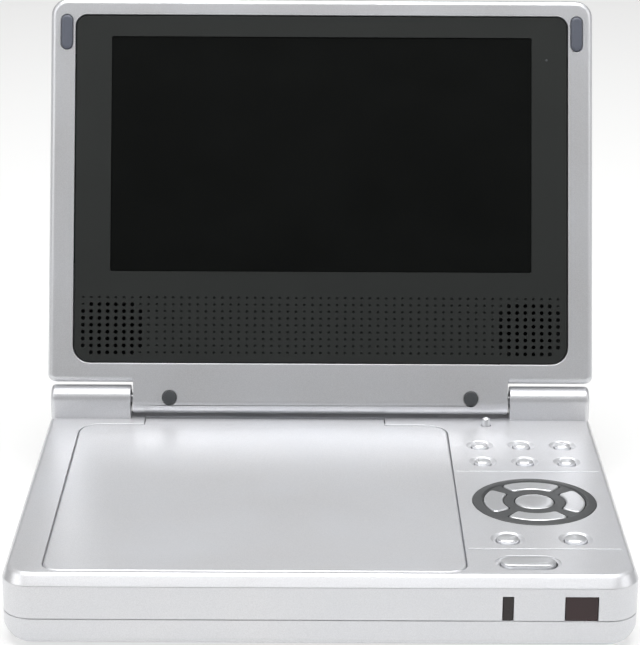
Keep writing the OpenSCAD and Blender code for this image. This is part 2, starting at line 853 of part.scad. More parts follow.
// Through holes of the grille: a rounded patch of eight by eight in front of each speaker
module speaker_holes() {
    for (s = [0, 1]) mirror([s, 0, 0])
        for (c = [0:7], r = [0:7])
            if (abs(c - 3.5) + abs(r - 3.5) < 6.5)
                post(hole_x0 + c * hole_pitch_x, hole_v0 + r * hole_pitch_v,
                     mask_top - mask_t - 1, mask_top + 1, hole_r);
}

module screen_mask() {
    color(dark_grey) on_lid() difference() {
        prism(mask_top - mask_t, mask_top) difference() {
            round_rect(-mask_x, mask_v0, mask_x, mask_v1, 6, 4);
            translate([-screen_w / 2, screen_v0]) square([screen_w, screen_h]);
        }
        speaker_holes();
    }
}

module screen_window() {
    color([0.07, 0.07, 0.08]) on_lid() prism(mask_top - mask_t, mask_top - 0.4)
        translate([-screen_w / 2 + 0.1, screen_v0 + 0.1]) square([screen_w - 0.2, screen_h - 0.2]);
}

module lcd_panel() {
    color(steel) on_lid() difference() {
        block([-82.5, 42.5, -2], [82.5, 138.2, mask_top - mask_t - 0.2]);
        for (x = [-80, 80], v = [44.6, 136.4]) post(x, v, -3, 4, 1.1);
    }
}

module lcd_driver_board() {
    color(board_green) on_lid() {
        block([-42, 60, -3.4], [40, 112, -2.4]);
        block([-20, 74, -4.4], [-4, 90, -3.3]);
        block([10, 80, -4.2], [22, 92, -3.3]);
    }
}

module inverter_board() {
    color(board_green) on_lid() {
        block([-95, 50, -3.6], [-85.5, 128, -2.4]);
        block([-94, 84, -2.5], [-86.5, 106, 0.8]);
    }
}

module speakers() {
    color(dark_grey) on_lid() for (s = [-1, 1]) translate([s * speaker_x, speaker_v, 0])
        rotate_extrude() polygon([
            [0, -4.6], [6, -4.6], [6, -2], [8.6, -1], [10.4, 1.2], [10.4, 2.4], [9.4, 2.4],
            [8.8, 1.4], [3, -0.4], [2, 0.4], [0, 0.8]
        ]);
}

module bumpers_oblong() {
    color(rubber) on_lid() for (s = [-1, 1])
        translate([s * (half_w - 5.9), lid_top - 12.6, 0]) prism(face_w - 0.8, face_w + 0.9)
            rotate(90) stadium(4.25, 2.05);
}

module screw_caps() {
    color(rubber) on_lid() for (s = [-1, 1]) post(s * 55.3, 0.2, face_w - 0.7, face_w + 0.45, 2.55);
}

// Friction hinge shaft with the leaf that carries the lid
module hinge_shaft() {
    on_lid() {
        bar_x(58.5, cover_x0 + 22, 0, 0, shaft_r);
        difference() {
            block([58.5, -1, -0.7], [66.2, 13.5, 0.7]);
            for (v = [3.5, 10.5]) post(62.4, v, -2, 2, 1);
        }
    }
}

module hinge_shaft_left() {
    color(steel) mirror([1, 0, 0]) hinge_shaft();
}

module hinge_shaft_right() {
    color(steel) hinge_shaft();
}

base_bottom_case();
base_top_case();
hinge_cover_left();
hinge_cover_right();
hinge_sleeves();
rubber_feet();
base_screws();
disc_tray();
traverse_chassis();
chassis_grommets();
spindle_motor();
guide_rods();
sled_motor();
main_board();
battery_pack();
key_board();
front_board();
jack_board();
headphone_jacks();
av_jack();
dc_jack();
lid_switch();
nav_ring();
ir_window();
led_window();
cover_hinge_pins();
disc_cover();
latch_bar();
spindle_hub();
pickup_sled();
lead_screw();
volume_wheel();
power_switch();
lid_switch_pin();
upper_key_1();
upper_key_2();
upper_key_3();
upper_key_4();
upper_key_5();
upper_key_6();
lower_key_left();
lower_key_right();
nav_key_up();
nav_key_down();
nav_key_left();
nav_key_right();
center_key();
open_key();
lid_front_frame();
lid_back_cover();
screen_mask();
screen_window();
lcd_panel();
lcd_driver_board();
inverter_board();
speakers();
bumpers_oblong();
screw_caps();
hinge_shaft_left();
hinge_shaft_right();
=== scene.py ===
import json
from math import asin, cos, pi, radians, sin

import bmesh
import bpy
from mathutils import Matrix, Vector


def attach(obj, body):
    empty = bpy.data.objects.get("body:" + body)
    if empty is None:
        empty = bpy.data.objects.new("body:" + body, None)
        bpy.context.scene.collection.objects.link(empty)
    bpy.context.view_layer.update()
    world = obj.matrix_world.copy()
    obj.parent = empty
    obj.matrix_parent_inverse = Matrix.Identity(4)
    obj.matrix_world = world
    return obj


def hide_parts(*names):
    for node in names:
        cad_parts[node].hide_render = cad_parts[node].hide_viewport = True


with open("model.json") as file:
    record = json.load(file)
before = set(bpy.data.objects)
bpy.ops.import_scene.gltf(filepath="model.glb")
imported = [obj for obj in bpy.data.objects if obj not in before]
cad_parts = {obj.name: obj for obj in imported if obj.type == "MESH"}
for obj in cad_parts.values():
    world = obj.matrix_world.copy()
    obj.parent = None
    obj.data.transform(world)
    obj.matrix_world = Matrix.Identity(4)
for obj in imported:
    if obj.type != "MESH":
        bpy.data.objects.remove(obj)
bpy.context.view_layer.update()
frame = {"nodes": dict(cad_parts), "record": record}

scene = bpy.context.scene
MM = 0.001

# ---- Sizes, in millimetres: X to the right, Y to the back, Z up ----

# Base case
half_w, front_y, back_y = 100, -76.5, 76.5
front_r, back_r = 10, 6
foot_h, seam_z, deck_z = 1, 10, 24.5
deck_under, floor_z, wall = 22.3, 4, 2
seam_gap = 0.18
foot_spots = [(x, y) for x in (-76, 76) for y in (-58, 58)]
screw_spots = [(-91, -65), (91, -65), (-91, 60), (91, 60), (43.5, -45), (43.5, 35)]
vent_count, vent_x, vent_pitch, vent_w, vent_y = 9, -44, 5, 2, (-20, 12)
# Bevel round the deck: each rise with the front's, the sides' and the back's distance from the wall
bevel_h, bevel_r = 3.6, 8.5
bevel_steps = ((2.65, 2.3, 1.1, 0.9), (0.42, 2.7, 1.5, 1.2), (0.3, 3.1, 1.95, 1.5), (0.23, 3.55, 2.6, 1.9))
# Curve of the underside up to each side wall
belly_reach, belly_rise, belly_steps = 11.8, 5, 16

# Hinge line, the covers at its ends and the lid's lean
hinge_y, hinge_z, shaft_room_r = 71.1, 30.75, 2.35
cover_x0, cover_x1, cover_r = 69.6, 98.9, 5
lid_lean = radians(20.25)

# Lid, measured from the hinge line up the lid and out of its face
tongue_half, tongue_r = 68.8, 5.4
face_w, back_w, lid_seam, lid_wall = 5, -7, -1, 2.2
lid_foot, lid_top = 6.05, 147.6
lid_low_r, lid_high_r = 2.8, 6.3
mask_x, mask_v0, mask_v1, mask_top, mask_gap = 90.6, 13.2, 141.3, 4.6, 0.4
screen_x, screen_v0, screen_v1, pane_gap = 77.5, 46.6, 133.6, 0.1
bumper_x, bumper_v = half_w - 5.9, lid_top - 12.6
cap_x, cap_v = 55.3, 0.2
lamp_x, lamp_v = 83, 125.3

# Speaker grille: rows from the bottom, and the patch of open holes at each end
grille_columns, grille_rows, grille_patch = 59, 9, 8
grille_x, grille_v, pitch_x, pitch_v = -87.3, 16.7, 3.01, 2.526

# Disc cover, its tab and hinge line, and the well under it
cover_edge, cover_top, cover_foot = (-87.2, -72.2, 45.9, 60.2), 24.7, deck_z - 2.1
tab_x = (-64, 23.4)
cover_axis_y, cover_axis_z = 66, 22
disc_x, disc_y, well_r, ledge_z = -20.6, -6, 61, 22.2
well_frame = (-89.5, -73, 47.8, 62.4)
hook_slot = (34.6, -70.2, 42.4, -63.2)

# Keys and the lid-switch pin
key_top, key_foot, key_gap, flange_w, flange_h = 25.35, 21.5, 0.3, 1.2, 0.6
upper_x, upper_y, key_r = (57, 71.8, 86.5), (40.2, 24), 2.9
lower_x, lower_y, low_key_r = (60.5, 82.5), -44.9, 3.6
nav_x, nav_y, ring_r, nav_top = 71.9, -13, 20.7, 24.8
nav_in_r, nav_mid_r, nav_out_r, nav_corner_r, nav_half_angle = 10.6, 13, 17, 1.4, radians(36)
center_r = 6.5
open_x, open_y, open_half, open_r = 65.5, -64.3, 4.9, 3.8
pin_x, pin_y, pin_r = 60.6, 61, 1.5
groove_x, groove_w, groove_depth = 47.1, 0.55, 0.4

# Front windows, sockets, wheel and switch
window_spans, window_top = ((76.5, 86.6), (57, 60.1)), 18
socket_z, plug_nose, inlet_r = 14.6, 3.6, 4.7
plug_y, inlet_y = (-40, -26, -12), 44
wheel_x, wheel_y, wheel_r, wheel_notches = half_w - 6, 14, 6, 36
switch_y = 29

# From the lid's own frame (X, up the lid, out of its face) to its place
ON_LID = Matrix.Translation((0, hinge_y, hinge_z)) @ Matrix.Rotation(pi / 2 - lid_lean, 4, "X")
# From an outline drawn in X and Y to one drawn in Y and Z, pushed out along X
ALONG_X = Matrix(((0, 0, 1, 0), (1, 0, 0, 0), (0, 1, 0, 0), (0, 0, 0, 1)))
# From an outline drawn in X and Y to one drawn in X and Z, pushed forward along Y
ALONG_Y = Matrix.Rotation(pi / 2, 4, "X")


# ---- Shapes ----

def outline(points, radii, segments=8):
    """A flat face in X and Y with each corner rounded by its radius."""
    bm = bmesh.new()
    corners = [bm.verts.new((x, y, 0)) for x, y in points]
    bm.faces.new(corners)
    for corner, radius in zip(corners, radii):
        if radius:
            bmesh.ops.bevel(bm, geom=[corner], offset=radius, offset_type="OFFSET", segments=segments,
                            profile=0.5, affect="VERTICES", clamp_overlap=False, material=-1)
    bmesh.ops.remove_doubles(bm, verts=bm.verts[:], dist=0.002)
    bm.normal_update()
    if bm.faces[:][0].normal.z < 0:
        bmesh.ops.reverse_faces(bm, faces=bm.faces[:])
    return bm


def raise_outline(bm, z0, z1):
    """Pushes a flat outline up into a block from z0 to z1."""
    bmesh.ops.translate(bm, verts=bm.verts[:], vec=(0, 0, z0))
    bottom = bm.faces[:]
    top = bmesh.ops.extrude_face_region(bm, geom=bottom, use_keep_orig=True)["geom"]
    bmesh.ops.translate(bm, verts=[v for v in top if isinstance(v, bmesh.types.BMVert)],
                        vec=(0, 0, z1 - z0))
    bmesh.ops.recalc_face_normals(bm, faces=bm.faces[:])
    return bm


def slab(x0, y0, x1, y1, z0, z1, near=0, far=0, segments=8):
    """A block whose plan has its near and far corners rounded."""
    points = [(x0, y0), (x1, y0), (x1, y1), (x0, y1)]
    return raise_outline(outline(points, (near, near, far, far), segments), z0, z1)


def block_of(points, radii, z0, z1, segments=8):
    """A block with the plan of a rounded polygon."""
    return raise_outline(outline(points, radii, segments), z0, z1)


def end_face(bm, z):
    """The flat face at height z that looks up or down."""
    bm.normal_update()
    return max((f for f in bm.faces if abs(f.calc_center_median().z - z) < 1e-4
                and abs(f.normal.z) > 0.9), key=lambda f: f.calc_area())


def step_in(bm, z, steps):
    """Narrows the block's end at height z in (inset, rise) steps."""
    face = end_face(bm, z)
    for inset, rise in steps:
        bmesh.ops.inset_individual(bm, faces=[face], thickness=inset, depth=rise, use_even_offset=True)


def raise_to(bm, z, goal, height):
    """Carries the end at height z up to height, where it takes the outline goal."""
    end = bmesh.ops.extrude_discrete_faces(bm, faces=[end_face(bm, z)])["faces"][0]
    verts = end.verts[:]
    spots = [v.co.xy for v in goal.faces[:][0].verts]
    count = len(spots)
    turn = min(range(count), key=lambda k: sum((spots[(i + k) % count] - v.co.xy).length
                                               for i, v in enumerate(verts)))
    for i, v in enumerate(verts):
        v.co = (*spots[(i + turn) % count], height)


def oblong(half, r, z0, z1, segments=10):
    """A block whose plan has straight sides and round ends, lying along X."""
    e = half + r
    points = [(-e, -r), (e, -r), (e, r), (-e, r)]
    return block_of(points, [r] * 4, z0, z1, segments)


def turned(profile, steps=48):
    """A solid of revolution about Z from a profile of (radius, height) that starts and ends at radius 0."""
    bm = bmesh.new()
    verts = [bm.verts.new((r, 0, z)) for r, z in profile]
    edges = [bm.edges.new(pair) for pair in zip(verts, verts[1:])]
    bmesh.ops.spin(bm, geom=verts + edges, cent=(0, 0, 0), axis=(0, 0, 1), dvec=(0, 0, 0),
                   angle=2 * pi, steps=steps, use_merge=True, use_duplicate=False)
    bmesh.ops.remove_doubles(bm, verts=bm.verts[:], dist=1e-4)
    bmesh.ops.recalc_face_normals(bm, faces=bm.faces[:])
    return bm


def shifted(bm, x=0.0, y=0.0, z=0.0):
    bmesh.ops.translate(bm, verts=bm.verts[:], vec=(x, y, z))
    return bm


def swung(bm, degrees):
    """The shape turned about Z."""
    bmesh.ops.rotate(bm, cent=(0, 0, 0), matrix=Matrix.Rotation(radians(degrees), 3, "Z"), verts=bm.verts[:])
    return bm


def placed(bm, matrix):
    bmesh.ops.transform(bm, matrix=matrix, verts=bm.verts[:])
    bmesh.ops.recalc_face_normals(bm, faces=bm.faces[:])
    return bm


def bar_x(x0, x1, y, z, r):
    """A round bar lying along X."""
    bm = bmesh.new()
    bmesh.ops.create_cone(bm, cap_ends=True, segments=32, radius1=r, radius2=r, depth=x1 - x0)
    return placed(bm, Matrix.Translation(((x0 + x1) / 2, y, z)) @ Matrix.Rotation(pi / 2, 4, "Y"))


def post(x, y, z0, z1, r, steps=32):
    """A round post standing along Z."""
    bm = bmesh.new()
    bmesh.ops.create_cone(bm, cap_ends=True, segments=steps, radius1=r, radius2=r, depth=z1 - z0)
    return shifted(bm, x, y, (z0 + z1) / 2)


def mirrored(bm):
    """The same shape on the other side of the middle."""
    twin = bm.copy()
    bmesh.ops.scale(twin, vec=(-1, 1, 1), verts=twin.verts[:])
    bmesh.ops.reverse_faces(twin, faces=twin.faces[:])
    return twin


def gathered(shapes):
    """One bmesh that holds several separate shapes."""
    whole = bmesh.new()
    for bm in shapes:
        mesh = bpy.data.meshes.new("part")
        bm.to_mesh(mesh)
        whole.from_mesh(mesh)
        bpy.data.meshes.remove(mesh)
    return whole


def as_object(bm, name):
    mesh = bpy.data.meshes.new(name)
    bm.to_mesh(mesh)
    obj = bpy.data.objects.new(name, mesh)
    scene.collection.objects.link(obj)
    return obj


def settle(obj):
    """Applies the object's modifiers to its mesh."""
    graph = bpy.context.evaluated_depsgraph_get()
    mesh = bpy.data.meshes.new_from_object(obj.evaluated_get(graph))
    obj.modifiers.clear()
    obj.data = mesh


def boolean(bm, other, operation):
    """The block bm with the other shape cut from it or added to it."""
    body = as_object(bm, "body_of_piece")
    tool = as_object(other, "tool_of_piece")
    modifier = body.modifiers.new("shape", "BOOLEAN")
    modifier.operation = operation
    modifier.solver = "EXACT"
    modifier.object = tool
    settle(body)
    result = bmesh.new()
    result.from_mesh(body.data)
    for obj in (body, tool):
        bpy.data.objects.remove(obj)
    return result


def cut(bm, *shapes):
    for shape in shapes:
        bm = boolean(bm, shape, "DIFFERENCE")
    return bm


def add(bm, *shapes):
    for shape in shapes:
        bm = boolean(bm, shape, "UNION")
    return bm


def without_slivers(obj, span=4e-6):
    """Removes the edges and faces that rounding left too small to shade."""
    bm = bmesh.new()
    bm.from_mesh(obj.data)
    bmesh.ops.dissolve_degenerate(bm, dist=span, edges=bm.edges[:])
    bm.to_mesh(obj.data)
    bm.free()
    obj.data.shade_smooth()


def piece(name, bm, material, body, stands_for, edge, place=None, angle=28):
    """Finishes a shape as a piece: its place, rounded edges, material, body and CAD node."""
    if place:
        placed(bm, place)
    bmesh.ops.remove_doubles(bm, verts=bm.verts[:], dist=2e-4)
    bmesh.ops.dissolve_limit(bm, angle_limit=radians(0.2), verts=bm.verts[:], edges=bm.edges[:])
    bmesh.ops.scale(bm, vec=(MM, MM, MM), verts=bm.verts[:])
    obj = as_object(bm, name)
    obj.data.shade_smooth()
    if edge:
        rounding = obj.modifiers.new("rounded_edges", "BEVEL")
        rounding.width = edge * MM
        rounding.segments = 3
        rounding.limit_method = "ANGLE"
        rounding.angle_limit = radians(angle)
        rounding.use_clamp_overlap = False
        rounding.miter_outer = "MITER_ARC"
        settle(obj)
        without_slivers(obj)
    else:
        obj.data.set_sharp_from_angle(angle=radians(angle))
    flat = obj.modifiers.new("even_shading", "WEIGHTED_NORMAL")
    flat.keep_sharp = True
    settle(obj)
    obj.data.materials.clear()
    obj.data.materials.append(material)
    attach(obj, body)
    if stands_for:
        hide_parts(stands_for)


# ---- Materials ----

def new_material(name):
    material = bpy.data.materials.new(name)
    material.use_nodes = True
    tree = material.node_tree
    return material, tree, tree.nodes["Principled BSDF"]


def node(tree, kind, **values):
    made = tree.nodes.new(kind)
    for key, value in values.items():
        if hasattr(made, key):
            setattr(made, key, value)
        else:
            made.inputs[key].default_value = value
    return made


def noise(tree, size_mm, detail=2.0, stretch=(1, 1, 1)):
    """Noise in the object's own coordinates, with features about size_mm across."""
    where = node(tree, "ShaderNodeTexCoord")
    mapping = node(tree, "ShaderNodeMapping", Scale=stretch)
    texture = node(tree, "ShaderNodeTexNoise", Scale=1 / (size_mm * MM), Detail=detail, Roughness=0.55)
    tree.links.new(where.outputs["Object"], mapping.inputs["Vector"])
    tree.links.new(mapping.outputs["Vector"], texture.inputs["Vector"])
    return texture.outputs["Fac"]


def cells(tree, size_mm):
    """Small cells, each with its own random colour."""
    where = node(tree, "ShaderNodeTexCoord")
    texture = node(tree, "ShaderNodeTexVoronoi", Scale=1 / (size_mm * MM))
    tree.links.new(where.outputs["Object"], texture.inputs["Vector"])
    return texture


def ranged(tree, value, low, high, start=0.3, end=0.7):
    """The value carried from the range start to end over to low to high."""
    scale = node(tree, "ShaderNodeMapRange")
    for name, number in (("From Min", start), ("From Max", end), ("To Min", low), ("To Max", high)):
        scale.inputs[name].default_value = number
    tree.links.new(value, scale.inputs["Value"])
    return scale.outputs["Result"]


def blended(tree, factor, first, second):
    """A mix of two colours, each a tuple or another node's colour."""
    mix = node(tree, "ShaderNodeMix", data_type="RGBA")
    tree.links.new(factor, mix.inputs["Factor"])
    for socket, value in ((mix.inputs[6], first), (mix.inputs[7], second)):
        if isinstance(value, tuple):
            socket.default_value = (*value, 1)
        else:
            tree.links.new(value, socket)
    return mix.outputs[2]


def bumped(tree, shader, heights):
    """Adds bump layers of (height value, depth in mm, strength)."""
    normal = None
    for height, depth, strength in heights:
        bump = node(tree, "ShaderNodeBump", Strength=strength, Distance=depth * MM)
        tree.links.new(height, bump.inputs["Height"])
        if normal:
            tree.links.new(normal, bump.inputs["Normal"])
        normal = bump.outputs["Normal"]
    tree.links.new(normal, shader.inputs["Normal"])


def shade(color, factor):
    return tuple(min(1, c * factor) for c in color)


def paint(name, color, rough=0.36, metallic=0.35, flake=0.06, coat=0.25):
    """Silver paint: fine flakes under a satin coat, over a faintly uneven moulding."""
    material, tree, shader = new_material(name)
    flakes = cells(tree, 0.16)
    cloud = noise(tree, 34, 3)
    fine = noise(tree, 0.5, 3)
    grey = node(tree, "ShaderNodeSeparateColor")
    tree.links.new(flakes.outputs["Color"], grey.inputs["Color"])
    base = blended(tree, ranged(tree, grey.outputs[0], 0, 1, 0.1, 0.9),
                   shade(color, 1 - flake), shade(color, 1 + flake))
    cool = shade((color[0] * 0.97, color[1], color[2] * 1.04), 0.97)
    uneven = blended(tree, ranged(tree, cloud, 0, 0.35), base, cool)
    tree.links.new(uneven, shader.inputs["Base Color"])
    tree.links.new(ranged(tree, cloud, rough - 0.03, rough + 0.04), shader.inputs["Roughness"])
    shader.inputs["Metallic"].default_value = metallic
    shader.inputs["Coat Weight"].default_value = coat
    shader.inputs["Coat Roughness"].default_value = 0.22
    bumped(tree, shader, [(fine, 0.02, 0.12), (noise(tree, 9, 2), 0.05, 0.08)])
    return material


def plastic(name, color, rough=0.5, grain_mm=0.35, depth=0.02, vary=0.12, specular=0.5):
    """Moulded plastic or rubber with a fine spark-eroded grain."""
    material, tree, shader = new_material(name)
    cloud = noise(tree, 22, 3)
    grain = noise(tree, grain_mm, 2)
    base = blended(tree, ranged(tree, cloud, 0, 1), shade(color, 1 - vary), shade(color, 1 + vary))
    speck = blended(tree, ranged(tree, grain, 0, 0.25), base, shade(color, 1.35))
    tree.links.new(speck, shader.inputs["Base Color"])
    tree.links.new(ranged(tree, grain, rough - 0.06, rough + 0.08), shader.inputs["Roughness"])
    shader.inputs["Specular IOR Level"].default_value = specular
    bumped(tree, shader, [(grain, depth, 0.5), (cloud, 0.05, 0.06)])
    return material


def glossy(name, color, rough, coat):
    """Polished plastic or glass with faint waviness and smudges."""
    material, tree, shader = new_material(name)
    smudge = noise(tree, 28, 4, (1, 1, 1.6))
    base = blended(tree, ranged(tree, smudge, 0, 1), color, shade(color, 1.25))
    tree.links.new(base, shader.inputs["Base Color"])
    tree.links.new(ranged(tree, smudge, rough, rough + 0.05), shader.inputs["Roughness"])
    shader.inputs["Coat Weight"].default_value = coat
    shader.inputs["Coat Roughness"].default_value = 0.04
    bumped(tree, shader, [(noise(tree, 40, 1), 0.05, 0.05)])
    return material


def metal(name, color, rough=0.3, stretch=(1, 14, 14)):
    """Drawn or pressed metal with fine lines along X."""
    material, tree, shader = new_material(name)
    lines = noise(tree, 1.2, 3, stretch)
    cloud = noise(tree, 18, 3)
    base = blended(tree, ranged(tree, cloud, 0, 1), shade(color, 0.86), color)
    tree.links.new(base, shader.inputs["Base Color"])
    tree.links.new(ranged(tree, lines, rough - 0.08, rough + 0.14), shader.inputs["Roughness"])
    shader.inputs["Metallic"].default_value = 1
    bumped(tree, shader, [(lines, 0.01, 0.4)])
    return material


def circuit_board(name):
    """Green lacquer over copper tracks."""
    material, tree, shader = new_material(name)
    where = node(tree, "ShaderNodeTexCoord")
    tracks = node(tree, "ShaderNodeTexBrick", Scale=1 / (9 * MM))
    tree.links.new(where.outputs["Object"], tracks.inputs["Vector"])
    color = blended(tree, tracks.outputs["Fac"], (0.012, 0.075, 0.03), (0.03, 0.16, 0.06))
    tree.links.new(color, shader.inputs["Base Color"])
    tree.links.new(ranged(tree, noise(tree, 3), 0.25, 0.4), shader.inputs["Roughness"])
    shader.inputs["Coat Weight"].default_value = 0.6
    bumped(tree, shader, [(tracks.outputs["Fac"], 0.04, 0.4)])
    return material


SILVER = paint("silver_paint", (0.755, 0.757, 0.775), metallic=0.5)
KEY_SILVER = paint("key_silver", (0.78, 0.785, 0.80), rough=0.28, metallic=0.6, flake=0.05, coat=0.5)
RING_GREY = plastic("ring_grey", (0.075, 0.078, 0.08), rough=0.42, grain_mm=0.3, depth=0.012, vary=0.06)
MASK_GREY = plastic("mask_grey", (0.020, 0.022, 0.021), rough=0.5, grain_mm=0.4, depth=0.015,
                    vary=0.05, specular=0.32)
SCREEN = glossy("screen_glass", (0.0045, 0.005, 0.0047), rough=0.12, coat=0.3)
TINTED_RED = glossy("tinted_window_red", (0.024, 0.006, 0.007), rough=0.22, coat=0.0)
TINTED_BROWN = glossy("tinted_window_brown", (0.016, 0.011, 0.010), rough=0.22, coat=0.0)
SLATE = plastic("slate_rubber", (0.105, 0.115, 0.145), rough=0.5, grain_mm=0.3, vary=0.08)
CAP_GREY = plastic("cap_rubber", (0.06, 0.064, 0.068), rough=0.5, grain_mm=0.3)
FOOT_RUBBER = plastic("foot_rubber", (0.03, 0.03, 0.033), rough=0.75, grain_mm=0.5, depth=0.05)
BLACK = plastic("black_plastic", (0.016, 0.016, 0.017), rough=0.42)
TRAY = plastic("tray_grey", (0.075, 0.078, 0.083), rough=0.45, grain_mm=0.45)
YELLOW = plastic("socket_yellow", (0.55, 0.38, 0.035), rough=0.4)
PAPER = plastic("speaker_paper", (0.028, 0.027, 0.026), rough=0.85, grain_mm=0.6, depth=0.08)
WRAP = plastic("battery_wrap", (0.03, 0.05, 0.12), rough=0.28, grain_mm=3, depth=0.1)
STEEL = metal("steel", (0.46, 0.465, 0.475))
ZINC = metal("zinc", (0.42, 0.43, 0.45), rough=0.42, stretch=(1, 1, 1))
BOARD = circuit_board("board_green")

SLOT_LOOKS = {
    "silver_paint": SILVER, "silver_key": KEY_SILVER, "tray_grey": TRAY, "mask_grey": MASK_GREY,
    "ring_grey": RING_GREY, "screen_glass": SCREEN, "tinted_window": TINTED_RED,
    "rubber_slate": SLATE, "black_plastic": BLACK, "steel": STEEL, "zinc": ZINC,
    "board_green": BOARD, "battery_wrap": WRAP, "socket_yellow": YELLOW, "speaker_paper": PAPER,
}
for subpart in frame["record"]["subparts"]:
    cad = frame["nodes"][subpart["node"]]
    cad.data.materials.clear()
    cad.data.materials.append(SLOT_LOOKS[subpart["material_slot"]])


# ---- Base ----

def base_block(z0, z1, inset=0.0):
    """The base's plan as a block, drawn in by inset."""
    return slab(-half_w + inset, front_y + inset, half_w - inset, back_y - inset, z0, z1,
                near=front_r - inset, far=max(back_r - inset, 0.6), segments=10)


def dish(x, y, r, depth=0.8, rim=1.6):
    """Cutter for a key hole in a shallow dish with a rounded rim."""
    hole = r + key_gap
    profile = [(0, key_foot - 2), (hole, key_foot - 2), (hole, deck_z - depth),
               (r + 0.75, deck_z - depth * 0.96),
               (hole + rim * 0.6, deck_z - depth * 0.62), (hole + rim * 0.88, deck_z - depth * 0.22),
               (hole + rim, deck_z), (hole + rim, deck_z + 2), (0, deck_z + 2)]
    return shifted(turned(profile), x, y)


def beveled(bm):
    """Raises the upper case's block to the deck by the bevel's steps."""
    height = deck_z - bevel_h
    for rise, front, side, back in bevel_steps:
        points = [(-half_w + side, front_y + front), (half_w - side, front_y + front),
                  (half_w - side, back_y - back), (-half_w + side, back_y - back)]
        radii = (bevel_r, bevel_r, back_r - back, back_r - back)
        raise_to(bm, height, outline(points, radii, 10), height + rise)
        height += rise
    return bm


def disc_openings():
    """Cutters for the disc cover's place, the well, the tab's trough and the hook's slot."""
    room, front_room, back_room = 0.4, 0.3, 0.7
    x0, y0, x1, y1 = cover_edge
    slot_x0, slot_y0, slot_x1, slot_y1 = hook_slot
    return [
        slab(x0 - room, y0 - front_room, x1 + room, y1 + back_room, ledge_z, deck_z + 1, near=6.35, far=8.5),
        post(disc_x, disc_y, ledge_z - 3, ledge_z + 1, well_r + 1.6, 96),
        slab(tab_x[0] - room, y1 - 2.5, tab_x[1] + room, cover_axis_y + 2.9, cover_axis_z - 5, deck_z + 1),
        slab(slot_x0, slot_y0, slot_x1, slot_y1, ledge_z - 3, ledge_z + 1),
    ]


def key_openings():
    """Cutters for the open key, the ring and the pin."""
    open_dish = oblong(open_half, open_r + 1.7, deck_z - 0.45, deck_z + 1)
    step_in(open_dish, deck_z - 0.45, [(0.7, 0.15), (0.6, 0.05)])
    return [
        shifted(open_dish, open_x, open_y),
        shifted(oblong(open_half, open_r + key_gap, deck_under - 1, deck_z + 1), open_x, open_y),
        post(nav_x, nav_y, deck_under + 0.3, deck_z + 1, ring_r + 0.15, 96),
        post(nav_x, nav_y, deck_under - 1, deck_under + 1, ring_r - 2.2, 96),
        post(pin_x, pin_y, deck_under - 1, deck_z + 1, pin_r + 0.3),
    ]


def wall_openings():
    """Cutters for the front windows and for the sockets, wheel and switch on the right side."""
    nose, slot_half = plug_nose + 0.3, 1.8
    x0, x1 = half_w - 4, half_w + 1
    shapes = [slab(left - 0.2, front_y - 1, right + 0.2, front_y + wall + 1, seam_z - 1, window_top + 0.1)
              for left, right in window_spans]
    shapes += [slab(x0, y - nose, x1, y + nose, socket_z - nose, socket_z + nose) for y in plug_y]
    shapes.append(bar_x(x0, x1, inlet_y, socket_z, inlet_r))
    shapes += [slab(x0, y0, x1, y1, socket_z - slot_half, socket_z + slot_half)
               for y0, y1 in ((wheel_y - 5.6, wheel_y + 5.6), (switch_y - 2.5, switch_y + 5.5))]
    return shapes


def top_housing():
    bm = beveled(base_block(seam_z, deck_z - bevel_h))
    hollow = base_block(seam_z - 1, deck_z - 5, wall)
    step_in(hollow, deck_z - 5, [(2.2, 0.001), (0.001, deck_under - deck_z + 5)])
    bm = cut(bm, hollow)
    x0, y0, x1, y1 = well_frame
    bm = add(bm, slab(x0, y0, x1, y1, ledge_z - 2, deck_under + 0.2, near=4, far=4))
    bm = cut(bm, *disc_openings())
    dishes = [dish(x, y, key_r) for x in upper_x for y in upper_y]
    dishes += [dish(x, lower_y, low_key_r) for x in lower_x]
    bm = cut(bm, gathered(dishes))
    bm = cut(bm, *key_openings())
    grooves = [slab(groove_x, y, half_w - end, y + groove_w, deck_z - groove_depth, deck_z + 1)
               for y, end in ((14.2, 3.4), (-53.65, 3.7))]
    return cut(bm, gathered(grooves + wall_openings()))


piece("top_housing", top_housing(), SILVER, "base", "base_top_case", edge=0.18)


def belly_corner():
    """Cutter that curves the underside up to the right wall."""
    start = half_w - belly_reach
    curve = [(start + belly_reach * i / belly_steps, foot_h + belly_rise * (i / belly_steps) ** 2)
             for i in range(belly_steps + 1)]
    points = [(start, foot_h - 1), *curve, (half_w + 1, foot_h + belly_rise), (half_w + 1, foot_h - 1)]
    return placed(block_of(points, [0] * len(points), -back_y - 1, 1 - front_y), ALONG_Y)


def bottom_housing():
    bm = base_block(foot_h + 3, seam_z - seam_gap)
    step_in(bm, seam_z - seam_gap, [(0.22, 0.001), (0.001, seam_gap - 0.001)])
    step_in(bm, foot_h + 3, [(0.2, 0.9), (0.45, 0.9), (0.8, 0.7), (1.3, 0.5)])
    corner = belly_corner()
    bm = cut(bm, base_block(floor_z, seam_z + 1, wall + 0.6), corner, mirrored(corner))
    recesses = [post(x, y, foot_h - 1, 5, 3.1) for x, y in screw_spots]
    recesses += [post(x, y, foot_h - 1, foot_h + 0.6, 6.2) for x, y in foot_spots]
    recesses += [slab(x, vent_y[0], x + vent_w, vent_y[1], foot_h - 1, floor_z + 1,
                      near=0.9, far=0.9, segments=3)
                 for x in range(vent_x, vent_x + vent_count * vent_pitch, vent_pitch)]
    bm = add(bm, gathered([post(x, y, floor_z - 0.2, seam_z - 0.5, 3.9) for x, y in screw_spots]))
    return cut(bm, gathered(recesses))


